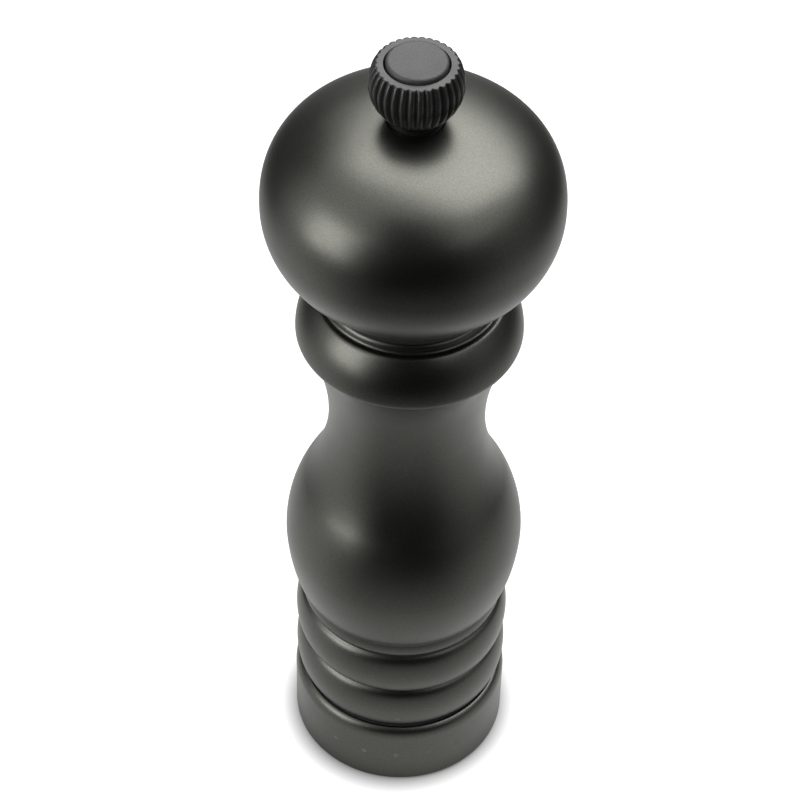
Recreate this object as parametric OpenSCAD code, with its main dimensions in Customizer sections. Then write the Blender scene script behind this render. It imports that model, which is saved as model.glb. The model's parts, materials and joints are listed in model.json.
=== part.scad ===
// Pepper mill: a turned outline in steel sheet over a plastic mechanism.
// The head turns a square shaft and the burr, the knob holds the head down,
// and the base ring sets the grind in clicks.
// Millimetres, +Z up, origin at the centre of the face that stands on the table.

/* [Base ring] */
// Outer diameter of the base ring
base_d = 54; // [52:0.5:60]
// Height of the base ring
base_h = 20.4; // [19:0.2:24]
// Rounding of the base ring's upper edge
base_shoulder = 1.9; // [1.4:0.1:2.4]
// Rounding of the edge that stands on the table
base_foot = 1.3; // [0.6:0.1:1.6]
// Width of the flat that stands on the table
base_flat = 0.9; // [0.6:0.1:1.4]

/* [Body outline] */
// Open seam between the base ring and the body
seam_gap = 0.8; // [0.6:0.1:1.5]
// Height of each of the two rings above the base
ring_h = 13.8; // [12:0.2:17]
// Diameter of the two rings at their widest
ring_d = 53.4; // [51:0.2:58]
// Diameter at the bottom of the grooves beside the rings
groove_d = 48.6; // [48.4:0.2:50.4]
// Height of the narrow bead under the belly
bead_h = 5.2; // [3:0.2:8]
// Diameter of the narrow bead
bead_d = 50.4; // [50.2:0.2:54]
// Diameter of the belly's foot
belly_foot_d = 50.2; // [48.8:0.1:52]
// Height from the belly's foot to its widest place
belly_low_h = 17.4; // [12:0.2:24]
// Fullness of the belly below its widest place, 2 is an ellipse
belly_low_power = 1.6; // [1.4:0.05:2.2]
// Diameter of the belly
belly_d = 58; // [54:0.2:66]
// Radius of the belly's bulge above its widest place
belly_bulge_r = 39.5; // [30:0.5:44]
// Height from the widest place of the belly to the waist
waist_rise = 41.3; // [37:0.1:56]
// Diameter of the waist
waist_d = 37.1; // [35.5:0.1:42]
// Height of the flared neck from the waist to the collar
neck_h = 26.4; // [20:0.2:32]
// Diameter of the neck where it meets the collar
neck_top_d = 48.6; // [44:0.2:49]
// Height of the collar below its widest place
collar_low_h = 2.4; // [2:0.1:6]
// Turn of the round between the collar's widest place and the neck
collar_tuck = 60; // [50:1:80]
// Diameter of the collar
collar_d = 52.5; // [51:0.1:58]
// Height of the collar's bowed face above its widest place
collar_top_h = 11.1; // [8:0.1:12]
// Radius of the collar's bowed face
collar_face_r = 16.5; // [14:0.5:24]
// Diameter of the upright lip on the collar
lip_d = 40.8; // [40.4:0.1:42]
// Height of the lip
lip_h = 1.9; // [1.8:0.1:4]
// Rounding of the lip's upper edge
lip_round = 1.2; // [0.6:0.1:1.3]

/* [Head outline] */
// Open height between the lip and the head, where the head's neck shows
reveal_h = 3.8; // [3.2:0.1:6]
// Diameter of the head
head_d = 67.5; // [64:0.5:76]
// Height from the head's foot to its widest place
head_low_h = 21; // [20.5:0.1:26]
// Radius of the round below the head's widest place
head_flank_r = 22; // [19:0.5:24]
// Slope of the straight flank under the head, from the vertical
head_flank_angle = 42; // [36:1:46]
// Rounding of the head's foot
head_foot_round = 3; // [2:0.1:4]
// Height of the dome above the head's widest place
dome_h = 24.2; // [20:0.2:30]
// Fullness of the dome, 2 is an ellipse
dome_power = 2.4; // [2:0.05:2.8]
// Diameter of the hole in the top of the dome
crown_hole_d = 12.6; // [11.6:0.1:14]

/* [Sheet and plastic walls] */
// Thickness of the steel sheet
sheet = 1; // [0.6:0.1:1.2]
// Wall of the hopper tube
hopper_wall = 1.2; // [0.8:0.1:1.6]
// Clearance between pieces that turn on each other
running_gap = 0.1; // [0.05:0.01:0.1]
// Clearance between pieces that are fitted and stay still
fit_gap = 0.2; // [0.1:0.05:0.25]
// Clearance between moving pieces that don't bear on each other
free_gap = 0.3; // [0.2:0.05:0.4]

/* [Knob] */
// Diameter of the knob over its ribs
knob_d = 20.7; // [19:0.1:24]
// Radius of the knob's rounded flank
knob_flank_r = 10; // [9.8:0.1:10.3]
// Height from the knob's underside to its widest place
knob_low_h = 8.7; // [8.2:0.1:9.2]
// Height from the knob's widest place to its rim
knob_rim_h = 5.1; // [4.6:0.1:6]
// Number of ribs round the knob
knob_ribs = 32; // [20:1:40]
// Width of the groove between two ribs
flute_w = 0.9; // [0.6:0.05:1.1]
// Depth of that groove
flute_depth = 0.55; // [0.3:0.05:0.6]
// Diameter of the disc in the top of the knob
cap_d = 13.4; // [12:0.1:14]
// Height of the disc above the knob's rim
cap_proud = 1; // [0.5:0.1:1.6]
// Thickness of the disc
cap_t = 2; // [1.6:0.1:2.4]
// Rounding of the disc's edge
cap_round = 0.7; // [0.3:0.1:0.8]
// Width of the groove round the disc
cap_groove = 0.5; // [0.3:0.1:0.8]
// Diameter of the brass insert in the knob
insert_d = 9; // [8.4:0.1:9.6]
// Length of the brass insert
insert_l = 9.2; // [7:0.1:9.6]

/* [Shaft] */
// Width of the square shaft
shaft_w = 6; // [5:0.1:6.2]
// Diameter of the threaded top of the shaft
thread_d = 6; // [4:0.5:6]
// Length of the threaded top above the washer
thread_l = 8.6; // [6:0.1:8.8]
// Thickness of the washer under the knob
washer_t = 0.5; // [0.4:0.1:1]
// Thickness of the seat ring in the crown of the head
seat_t = 0.6; // [0.4:0.1:1]
// Diameter of the washer and of the seat ring
washer_d = 11.6; // [10:0.1:11.8]

/* [Head mechanism] */
// Depth of the head's spigot in the mouth of the body
spigot_l = 7.2; // [5:0.1:9]
// Wall of the spigot
spigot_wall = 1.9; // [1.4:0.1:2.4]
// Wall of the sleeve
sleeve_wall = 1.7; // [1.2:0.1:1.8]
// Thickness of the nylon slide ring on the sleeve
slide_ring_t = 0.6; // [0.4:0.1:0.8]
// Thickness of the floor of the head's core
core_floor_t = 2.9; // [2.4:0.1:4]
// Diameter of the core's central column
core_column_d = 17; // [14:0.5:20]
// Thickness of the drive plate
drive_plate_t = 1.5; // [1:0.1:2]
// Diameter of the drive plate
drive_plate_d = 26; // [24:0.5:28]
// Radius of the circle of drive plate screws
drive_screw_r = 9.8; // [9.4:0.1:10]

/* [Grinding mechanism] */
// Diameter of the journal that the base ring turns on
journal_d = 43.8; // [43:0.1:44.4]
// Height of the journal's lower end
journal_z = 9; // [9:0.1:9.6]
// Outer diameter of the outer burr
stator_d = 36.4; // [35:0.1:36.6]
// Height of the outer burr
stator_h = 11.4; // [10.5:0.1:11.6]
// Length of the grinding cone at the bottom of the outer burr
grind_l = 4; // [3:0.1:5]
// Slope of the grinding cone, from the vertical
grind_angle = 21; // [16:1:24]
// Radius of the outer burr at its lower edge
grind_r = 13.9; // [13:0.1:14.2]
// Gap between the burrs at the middle setting
burr_gap = 0.75; // [0.65:0.05:1]
// Height of the inner burr
rotor_h = 12.6; // [12:0.1:13]
// Radius of the inner burr at its top
rotor_top_r = 6.6; // [6.2:0.1:7.4]
// Number of coarse teeth on each burr
coarse_teeth = 8; // [5:1:10]
// Number of fine teeth on each burr
fine_teeth = 20; // [12:1:26]
// Thickness of the plate that holds the outer burr
retainer_t = 0.7; // [0.5:0.1:0.8]
// Thickness of the snap ring that holds the base ring
snap_t = 1; // [0.8:0.1:1.2]
// Height of the top of the mechanism housing
housing_z = 32.7; // [31:0.1:34]
// Length of the housing screws' thread in the housing
housing_screw_bite = 8; // [6:0.5:9]
// Wall of the bridge's hub round the bush
hub_wall = 3; // [2:0.1:3.4]
// Depth of the bridge's hub below the housing's top
hub_drop = 2.4; // [2:0.1:2.6]
// Height of the bridge's hub above its spokes
hub_rise = 0.5; // [0.3:0.1:0.8]
// Thickness of the bush's flange
bush_flange_t = 1; // [0.8:0.1:1.2]
// Height of the click spring above the snap ring
click_rise = 2.4; // [2.2:0.1:2.6]
// Height of the slots in the journal that guide the carriage
slot_h = 3.4; // [3.2:0.1:3.6]
// Thickness of the bridge's rim
bridge_t = 2.4; // [1.8:0.1:3]
// Width of a bridge spoke
spoke_w = 5; // [3:0.1:6]
// Diameter of the drive bush in the bridge
bush_d = 10.8; // [10.2:0.1:11.4]
// Diameter of the bush's flange, which the spring pushes on
bush_flange_d = 14.4; // [13.8:0.1:15]
// Diameter of the spring wire
spring_wire = 0.9; // [0.6:0.05:1]
// Diameter of the spring along the middle of its wire
spring_d = 12.4; // [11.8:0.1:12.8]
// Number of turns of the spring
spring_turns = 4; // [3:0.5:5]
// Thickness of the washer under the spring
spring_washer_t = 0.8; // [0.5:0.1:1]

/* [Grind setting] */
// Number of grind settings
settings = 6; // [4:1:6]
// The setting that the index points at, counted from the coarsest
setting_now = 3; // [2:1:4]
// Turn of the base ring from one setting to the next
click_angle = 18; // [12:1:18]
// Lift of the inner burr from one setting to the next
click_lift = 0.24; // [0.1:0.02:0.26]
// Height of the lowest step of the cam
cam_step_z = 2; // [1.6:0.1:2.2]
// Width of the cam's steps
cam_w = 5; // [4:0.1:5.4]
// Underside of the carriage at the present setting
carriage_z = 4.4; // [4.2:0.1:4.6]
// Thickness of the carriage
carriage_t = 2.4; // [2:0.1:2.5]
// Width of a carriage arm
arm_w = 5; // [4:0.1:6]
// Height of a mark on the base ring above the table
mark_z = 10.5; // [8:0.1:12]
// Diameter of the mark for the finest setting
mark_d_min = 0.9; // [0.6:0.1:1.2]
// Growth of the marks from one setting to the next
mark_d_step = 0.28; // [0.1:0.02:0.3]
// Diameter of the index pip on the body
pip_d = 1.5; // [1:0.1:2]
// Height of the index pip above the body's lower edge
pip_rise = 4.1; // [3.5:0.1:6]

/* [Screws] */
// Diameter of a screw's shank
screw_d = 2.2; // [1.6:0.1:2.4]
// Diameter of a screw's head
screw_head_d = 4; // [3:0.1:4.2]
// Height of a screw's head
screw_head_h = 1.4; // [1:0.1:1.8]
// Diameter of the small screws' shank under the outer burr
small_screw_d = 1.5; // [1:0.1:1.6]
// Diameter of the small screws' head
small_head_d = 3; // [2.4:0.1:3.2]
// Height of the small screws' head
small_head_h = 0.8; // [0.6:0.1:0.8]

/* [Hidden] */
$fn = 96;

// Front of the mill, where the index is
front = -90;
// A cut that starts or ends outside a solid reaches this far past it
past = 1;
// Thinnest flange or rim
thin = 0.6;

// Heights of the outline, from the table up
body_z = base_h + seam_gap;
bead_z = body_z + 2 * ring_h;
belly_foot_z = bead_z + bead_h;
belly_z = belly_foot_z + belly_low_h;
waist_z = belly_z + waist_rise;
collar_z = waist_z + neck_h + collar_low_h;
collar_top_z = collar_z + collar_top_h;
lip_z = collar_top_z + lip_h;
head_foot_z = lip_z + reveal_h;
head_z = head_foot_z + head_low_h;

// Points of an elliptical arc round (r, z) with half axes a and b
function bow(r, z, a, b, from, to, steps) =
    [for (i = [0:steps]) let (t = from + (to - from) * i / steps) [r + a * cos(t), z + b * sin(t)]];

// The belly's bulge and the concave sweep to the waist are arcs that meet on one tangent
waist_r = waist_d / 2;
bulge_x = belly_d / 2 - belly_bulge_r;
sweep_x0 = waist_r - bulge_x;
sweep_r = (pow(sweep_x0, 2) + pow(waist_rise, 2) - pow(belly_bulge_r, 2)) / 2 / (belly_bulge_r - sweep_x0);
sweep_angle = atan2(waist_rise, sweep_x0 + sweep_r);

// The belly below its widest place is a superellipse
function belly_low(t) = [
    belly_foot_d / 2 + (belly_d - belly_foot_d) / 2 * pow(cos(t), 2 / belly_low_power),
    belly_z - belly_low_h * pow(sin(t), 2 / belly_low_power)
];
belly_steps = 10;

// The neck is one arc, upright at the waist, and the collar's round ends on it
neck_flare = neck_top_d / 2 - waist_r;
neck_r = (pow(neck_h, 2) + pow(neck_flare, 2)) / 2 / neck_flare;
neck_angle = asin(neck_h / neck_r);
tuck_a = (collar_d - neck_top_d) / 2 / (1 - cos(collar_tuck));
tuck_b = collar_low_h / sin(collar_tuck);
collar_face_angle = asin(collar_top_h / collar_face_r);

function ring_points(z) = bow(groove_d / 2, z, (ring_d - groove_d) / 2, ring_h / 2, -90, 90, 14);

lip_cove = min(0.5, (collar_d - lip_d) / 4);
body_outline = concat(
    ring_points(body_z + ring_h / 2),
    ring_points(body_z + 1.5 * ring_h),
    bow(groove_d / 2, bead_z + bead_h / 2, (bead_d - groove_d) / 2, bead_h / 2, -60, 60, 6),
    [for (i = [belly_steps:-1:1]) belly_low(90 * i / belly_steps)],
    bow(bulge_x, belly_z, belly_bulge_r, belly_bulge_r, 0, sweep_angle, 8),
    bow(waist_r + sweep_r, waist_z, -sweep_r, -sweep_r, sweep_angle * 0.875, 0, 7),
    bow(waist_r + neck_r, waist_z, -neck_r, neck_r, neck_angle / 8, neck_angle, 7),
    bow(collar_d / 2 - tuck_a, collar_z, tuck_a, tuck_b, -collar_tuck * 0.8, -collar_tuck / 5, 3),
    bow(collar_d / 2 - collar_face_r, collar_z, collar_face_r, collar_face_r, 0, collar_face_angle, 9),
    bow(lip_d / 2 + lip_cove, collar_top_z + lip_cove, -lip_cove, -lip_cove, 60, 0, 2),
    bow(lip_d / 2 - lip_round, lip_z - lip_round, lip_round, lip_round, 0, 90, 5)
);

// The head's flank is a cone between two arcs, and the dome is a full curve above
flank_x = head_d / 2 - head_flank_r;
flank_end = [
    flank_x + head_flank_r * cos(head_flank_angle),
    head_z - head_flank_r * sin(head_flank_angle)
];
foot_round_z = head_foot_z + head_foot_round;
flank_foot_z = foot_round_z - head_foot_round * sin(head_flank_angle);
flank_foot_r = flank_end[0] - (flank_end[1] - flank_foot_z) * tan(head_flank_angle);
foot_round_x = flank_foot_r - head_foot_round * cos(head_flank_angle);
function dome_r(z) = head_d / 2 * pow(1 - pow((z - head_z) / dome_h, dome_power), 1 / dome_power);
function dome_z(r) = head_z + dome_h * pow(1 - pow(2 * r / head_d, dome_power), 1 / dome_power);
crown_r = crown_hole_d / 2;
crown_z = dome_z(crown_r);
dome_steps = 16;
head_outline = concat(
    bow(foot_round_x, foot_round_z, head_foot_round, head_foot_round, -90, -head_flank_angle, 5),
    bow(flank_x, head_z, head_flank_r, head_flank_r, -head_flank_angle, -5, 8),
    [for (i = [0:dome_steps - 4]) let (t = 90 * i / dome_steps)
        [head_d / 2 * pow(cos(t), 2 / dome_power), head_z + dome_h * pow(sin(t), 2 / dome_power)]],
    [for (i = [1:4]) let (
        r0 = head_d / 2 * pow(cos(90 * (dome_steps - 4) / dome_steps), 2 / dome_power),
        r = r0 + (crown_r - r0) * i / 4) [r, dome_z(r)]]
);

// The same line moved inwards by a sheet's thickness, point by point along its normal
function inset(line, by) =
    [for (i = [0:len(line) - 1])
        let (
            a = line[max(i - 1, 0)],
            b = line[min(i + 1, len(line) - 1)],
            d = (b - a) / norm(b - a)
        )
        line[i] + by * [-d[1], d[0]]];
function reversed(line) = [for (i = [len(line) - 1:-1:0]) line[i]];

// A sheet of revolution between an outline and its inset
module sheet_shell(line) {
    rotate_extrude() polygon(concat(line, reversed(inset(line, sheet))));
}

// A ring of rectangular section
module ring(r0, r1, z0, z1) {
    rotate_extrude() translate([r0, z0]) square([r1 - r0, z1 - z0]);
}

// A disc or pin along Z
module pin(r, z0, z1) {
    translate([0, 0, z0]) cylinder(r = r, h = z1 - z0);
}

// A square bar along Z
module bar(w, z0, z1) {
    translate([-w / 2, -w / 2, z0]) cube([w, w, z1 - z0]);
}

// A block that points outwards along X from r0 to r1
module radial_block(r0, r1, w, z0, z1) {
    translate([r0, -w / 2, z0]) cube([r1 - r0, w, z1 - z0]);
}

// Copies round the axis at each of three places
module at_three(start, r = 0) {
    for (k = [0:2]) rotate([0, 0, start + 120 * k]) translate([r, 0, 0]) children();
}

// A pan-head screw with a cross recess, its head's seat at z = 0 and its shank along -Z
module screw(d, length, head_d, head_h) {
    slot_w = head_d / 6;
    slot_l = head_d * 0.6;
    difference() {
        union() {
            pin(d / 2, -length, head_h / 2);
            pin(head_d / 2, 0, head_h);
        }
        for (turn = [0, 90]) rotate([0, 0, turn])
            translate([-slot_l / 2, -slot_w / 2, head_h / 2]) cube([slot_l, slot_w, head_h]);
    }
}

// ---- Body shell and its lining

groove_r = groove_d / 2;
pip_r = groove_r + (ring_d - groove_d) / 2
    * sqrt(max(0, 1 - pow((pip_rise - ring_h / 2) / (ring_h / 2), 2)));
pip_z = body_z + pip_rise;
pip_tilt = atan2((ring_d - groove_d) / 2 * (ring_h / 2 - pip_rise), ring_h / 2 * (pip_r - groove_r) * 2);

module pip_place() {
    rotate([0, 0, front]) translate([pip_r, 0, pip_z]) rotate([0, 90 + pip_tilt, 0]) children();
}

module body_shell() {
    color("#3c3c39") difference() {
        sheet_shell(body_outline);
        pip_place() pin(pip_d / 2 + fit_gap / 4, -sheet * 2, past);
    }
}

module index_pip() {
    color("#8a8a86") pip_place() pin(pip_d / 2, -sheet, 0.05);
}

// The tube stops under the head's spigot, and its foot stands on the bridge's rim
sleeve_r = lip_d / 2 - lip_round - fit_gap;
sleeve_bore = sleeve_r - sleeve_wall;
spigot_z = head_foot_z - reveal_h + slide_ring_t + running_gap * 2 - spigot_l;
hopper_r = min(waist_r - sheet, sleeve_bore) - fit_gap;
hopper_bore = hopper_r - hopper_wall;
hopper_foot_z = housing_z + bridge_t;
hopper_foot_t = 1.5;
hopper_top_z = spigot_z - 1;
rim_r = groove_r - sheet - fit_gap;

module hopper_liner() {
    color("#2b2b2b") difference() {
        union() {
            ring(hopper_bore, hopper_r, hopper_foot_z, hopper_top_z);
            ring(hopper_bore, rim_r, hopper_foot_z, hopper_foot_z + hopper_foot_t);
        }
        at_three(housing_screw_angle, housing_screw_r)
            pin(screw_d / 2 + fit_gap, hopper_foot_z - past, hopper_foot_z + hopper_foot_t + past);
    }
}

sleeve_foot_t = 1.5;
sleeve_z = hopper_top_z - sleeve_foot_t * 1.4;

module mouth_sleeve() {
    color("#1f1f1f") {
        ring(sleeve_bore, sleeve_r, sleeve_z, lip_z);
        ring(min(hopper_r + fit_gap, sleeve_bore), sleeve_bore + thin, sleeve_z, sleeve_z + sleeve_foot_t);
    }
}

module slide_ring() {
    color("#dcd8c8") ring(sleeve_bore + fit_gap / 2, sleeve_r, lip_z, lip_z + slide_ring_t);
}

// ---- Mechanism housing, bridge and outer burr

journal_r = journal_d / 2;
stator_r = stator_d / 2;
stator_z = journal_z + fit_gap / 2;
stator_top_z = stator_z + stator_h;
housing_bore = stator_r + fit_gap / 2;
seam_r = groove_r - 2 * free_gap;
throat_r = 15;
funnel_top_r = hopper_bore + 1;
housing_screw_angle = 90;
housing_screw_r = (funnel_top_r + rim_r) / 2 + thin;
housing_screw_l = hopper_foot_t + bridge_t + housing_screw_bite;

arm_angle = 30;
slot_top_z = journal_z + slot_h;
slot_w = arm_w - 1 + 2 * free_gap;
prong_w = arm_w - 1;

snap_z = slot_top_z + snap_t;
snap_groove_r = journal_r - 1.1;
snap_r = journal_r + 1.2;

click_z = snap_z + click_rise;
click_h = 3.4;
click_len = 12;
click_depth = 1.9;
leaf_t = 0.4;
nib_r = 0.8;
click_place = front + 60;

module mechanism_housing() {
    color("#26292b") difference() {
        rotate_extrude() polygon([
            [housing_bore, journal_z], [journal_r, journal_z], [journal_r, body_z],
            [seam_r, body_z], [seam_r, body_z + sheet], [rim_r, body_z + 2 * sheet], [rim_r, housing_z],
            [funnel_top_r, housing_z], [throat_r, stator_top_z + fit_gap + thin],
            [throat_r, stator_top_z + fit_gap / 2], [housing_bore, stator_top_z + fit_gap / 2]
        ]);
        ring(snap_groove_r, journal_r + past, snap_z - fit_gap / 2, snap_z + snap_t + fit_gap / 2);
        at_three(arm_angle)
            radial_block(housing_bore - thin, journal_r + past, slot_w, journal_z - past, slot_top_z);
        at_three(retainer_screw_angle, retainer_screw_r)
            pin(small_screw_d / 2 + fit_gap / 4, journal_z - past, journal_z + retainer_screw_l);
        at_three(housing_screw_angle, housing_screw_r)
            pin(screw_d / 2 + fit_gap / 4,
                hopper_foot_z + hopper_foot_t - housing_screw_l - past, housing_z + past);
        rotate([0, 0, click_place]) translate([journal_r - click_depth, -click_len / 2, click_z])
            cube([click_depth + past, click_len, click_h + 2 * fit_gap]);
    }
}

module snap_ring() {
    color("#b8b8b8") difference() {
        ring(snap_groove_r + fit_gap / 2, snap_r, snap_z, snap_z + snap_t);
        rotate([0, 0, front + 180]) radial_block(0, snap_r + past, 5, snap_z - past, snap_z + snap_t + past);
    }
}

// A spring leaf lies in a pocket of the journal, and its nib faces the notches of the cam ring
module click_spring() {
    color("#c4c4c0") rotate([0, 0, click_place]) {
        translate([journal_r - click_depth + fit_gap / 4, -click_len / 2 + fit_gap, click_z + fit_gap])
            cube([leaf_t, click_len - 2 * fit_gap, click_h]);
        translate([journal_r - fit_gap / 2 - nib_r, 0, 0])
            pin(nib_r, click_z + fit_gap, click_z + fit_gap + click_h);
        translate([journal_r - click_depth + leaf_t / 2, -nib_r, click_z + fit_gap])
            cube([click_depth - leaf_t - nib_r, 2 * nib_r, click_h]);
    }
}

bush_r = bush_d / 2;
bridge_hub_r = bush_r + running_gap + hub_wall;
bridge_hub_z = housing_z - hub_drop;
bridge_hub_top = hopper_foot_z + hub_rise;
bridge_rim_r = funnel_top_r + 0.4;

module bridge() {
    color("#9a9a98") difference() {
        union() {
            ring(bridge_rim_r, rim_r, housing_z, hopper_foot_z);
            pin(bridge_hub_r, bridge_hub_z, bridge_hub_top);
            at_three(arm_angle)
                radial_block(0, bridge_rim_r + thin, spoke_w, housing_z, hopper_foot_z);
        }
        pin(bush_r + running_gap, bridge_hub_z - past, bridge_hub_top + past);
        at_three(housing_screw_angle, housing_screw_r)
            pin(screw_d / 2 + fit_gap, housing_z - past, hopper_foot_z + past);
    }
}

module housing_screws() {
    color("#b5b5b0") at_three(housing_screw_angle, housing_screw_r)
        translate([0, 0, hopper_foot_z + hopper_foot_t])
            screw(screw_d, housing_screw_l, screw_head_d, screw_head_h);
}

retainer_z = journal_z - retainer_t;
retainer_r = journal_r - 0.4;
retainer_screw_angle = arm_angle + 60;
retainer_screw_r = (housing_bore + journal_r) / 2;
retainer_screw_l = 4;

// Inside of the outer burr: grinding cone below, funnel above
grind_top_r = grind_r - grind_l * tan(grind_angle);
grind_top_z = stator_z + grind_l;

// Slanting cuts that leave teeth on a cone: a round bar for each, turned about the burr's axis
module tooth_cuts(count, r, z, lean, skew, bar_r, bar_l) {
    for (k = [0:count - 1]) rotate([0, 0, 360 * k / count])
        translate([r, 0, z]) rotate([skew, lean, 0]) cylinder(r = bar_r, h = bar_l, center = true);
}

module outer_burr() {
    color("#6f7072") difference() {
        rotate_extrude() polygon([
            [grind_r, stator_z], [stator_r, stator_z], [stator_r, stator_top_z],
            [throat_r, stator_top_z], [grind_top_r, grind_top_z]
        ]);
        tooth_cuts(fine_teeth, (grind_r + grind_top_r) / 2, stator_z + grind_l / 2,
            -grind_angle, 25, 0.45, grind_l * 2);
        tooth_cuts(coarse_teeth, (throat_r + grind_top_r) / 2, (stator_top_z + grind_top_z) / 2 + 1,
            atan2(throat_r - grind_top_r, stator_top_z - grind_top_z), -30, 1.5, stator_h);
    }
}

module burr_retainer() {
    color("#a8a8a5") difference() {
        ring(grind_r + 1.3, retainer_r, retainer_z, journal_z);
        at_three(arm_angle)
            radial_block(housing_bore - thin, retainer_r + past, slot_w, retainer_z - past, journal_z + past);
        at_three(retainer_screw_angle, retainer_screw_r)
            pin(small_screw_d / 2 + fit_gap / 2, retainer_z - past, journal_z + past);
    }
}

module retainer_screws() {
    color("#b5b5b0") at_three(retainer_screw_angle, retainer_screw_r)
        translate([0, 0, retainer_z]) mirror([0, 0, 1])
            screw(small_screw_d, retainer_screw_l, small_head_d, small_head_h);
}

// ---- Base ring with its cam

base_r = base_d / 2;
base_flat_r = base_r - base_foot - base_flat;
shoulder_x = base_r - base_shoulder;
shoulder_z = base_h - base_shoulder;
shoulder_in = base_shoulder - sheet;
function click_turn(i) = click_angle * (i + 1 - setting_now);

// Marks for the settings: plain dots that shrink from coarse to fine
module marks(grow, depth, proud) {
    for (i = [0:settings - 1]) rotate([0, 0, front - click_turn(i)])
        translate([0, 0, mark_z]) rotate([0, 90, 0])
            pin((mark_d_min + mark_d_step * (settings - 1 - i)) / 2 + grow, base_r - depth, base_r + proud);
}

module adjust_ring() {
    color("#3c3c39") difference() {
        rotate_extrude() polygon(concat(
            [[base_flat_r, 0]],
            bow(base_r - base_foot, base_foot, base_foot, base_foot, -90, 0, 5),
            bow(shoulder_x, shoulder_z, base_shoulder, base_shoulder, 0, 90, 6),
            bow(shoulder_x, shoulder_z, shoulder_in, shoulder_in, 90, 0, 4),
            [[base_r - sheet, sheet], [base_flat_r, sheet]]
        ));
        marks(fit_gap / 4, 0.3, past);
    }
}

module grind_marks() {
    color("#8a8a86") marks(0, 0.28, 0.02);
}

cam_r = base_r - sheet - fit_gap / 4;
cam_top_z = body_z - free_gap;
cam_neck_r = shoulder_x - fit_gap;
cam_foot_z = 0.6;
cam_bore = journal_r + running_gap;
cam_ledge_r = cam_bore + thin;
snap_room_r = snap_r + free_gap;
snap_shelf_z = snap_z + snap_t + fit_gap;

module cam_ring() {
    color("#2a2d30") difference() {
        union() {
            rotate_extrude() polygon([
                [cam_ledge_r - cam_w, cam_foot_z], [base_flat_r - fit_gap, cam_foot_z],
                [base_flat_r - fit_gap, sheet + fit_gap], [cam_r, sheet + fit_gap],
                [cam_r, base_h - sheet - base_shoulder], [cam_neck_r, base_h - sheet - fit_gap * 2],
                [cam_neck_r, cam_top_z], [cam_bore, cam_top_z], [cam_bore, snap_shelf_z],
                [snap_room_r, snap_shelf_z], [snap_room_r, snap_z - 2], [cam_ledge_r, snap_z - 2.8],
                [cam_ledge_r, cam_step_z - thin], [cam_ledge_r - cam_w, cam_step_z - thin]
            ]);
            for (i = [0:settings - 1])
                at_three(arm_angle - click_turn(settings - 1) - click_angle / 2)
                    rotate_extrude(angle = click_angle * (settings - i))
                        translate([cam_ledge_r + fit_gap - cam_w, cam_step_z - 2 * thin])
                            square([cam_w, click_lift * i + 2 * thin]);
        }
        for (k = [-settings:settings]) rotate([0, 0, click_place + click_angle * k])
            translate([cam_bore + nib_r * 0.6, 0, 0])
                pin(nib_r + fit_gap, click_z, click_z + click_h + 3 * fit_gap);
    }
}

// ---- Carriage and inner burr, which rise and fall with the cam

carriage_top_z = carriage_z + carriage_t;
foot_z = cam_step_z + click_lift * (setting_now - 1) + free_gap;
foot_w = 2;
arm_r = journal_r - 0.3;
hub_r = 6.5;
pad_r = 5.5;
pad_recess = 0.8;
rotor_z = retainer_z + fit_gap;
pad_top_z = rotor_z - fit_gap;
prong_r0 = housing_bore + 0.6;
prong_r1 = journal_r - 0.5;
prong_top_z = slot_top_z - 1.1;

module carriage() {
    color("#33373a") difference() {
        union() {
            pin(hub_r, carriage_z, carriage_top_z);
            at_three(arm_angle) {
                radial_block(0, arm_r, arm_w, carriage_z, carriage_top_z);
                radial_block(arm_r - 3, arm_r, foot_w, foot_z, carriage_z + thin);
                radial_block(prong_r0, prong_r1, prong_w, carriage_top_z - thin, prong_top_z);
            }
        }
        pin(pad_r + fit_gap / 2, carriage_top_z - pad_recess, carriage_top_z + past);
    }
}

module thrust_pad() {
    color("#b89b5e") pin(pad_r, carriage_top_z - pad_recess, pad_top_z);
}

rotor_top_z = rotor_z + rotor_h;
rotor_foot_r = grind_r - burr_gap + (stator_z - rotor_z) * tan(grind_angle);
rotor_waist_r = grind_top_r - burr_gap;
square_hole = shaft_w + 2 * fit_gap;

module inner_burr() {
    color("#77787a") difference() {
        rotate_extrude() polygon([
            [0, rotor_z], [rotor_foot_r, rotor_z], [rotor_waist_r, grind_top_z],
            [rotor_top_r, rotor_top_z], [0, rotor_top_z]
        ]);
        bar(square_hole, rotor_z - past, rotor_top_z + past);
        tooth_cuts(fine_teeth, (rotor_foot_r + rotor_waist_r) / 2, stator_z + grind_l / 2 - 0.5,
            -grind_angle, 25, 0.45, grind_l * 2);
        tooth_cuts(coarse_teeth, (rotor_waist_r + rotor_top_r) / 2 + 1.2, (grind_top_z + rotor_top_z) / 2 + 1,
            -atan2(rotor_waist_r - rotor_top_r, rotor_top_z - grind_top_z), -30, 1.9, rotor_h);
    }
}

bush_flange_r = bush_flange_d / 2;
bush_flange_z = bridge_hub_z - fit_gap - bush_flange_t;
washer_hole_r = shaft_w / sqrt(2) + fit_gap;
spring_foot_z = rotor_top_z + fit_gap / 2 + spring_washer_t;
spring_r = spring_d / 2;

module spring_washer() {
    color("#b5b5b0") ring(washer_hole_r, spring_r + spring_wire, rotor_top_z + fit_gap / 2, spring_foot_z);
}

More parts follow.
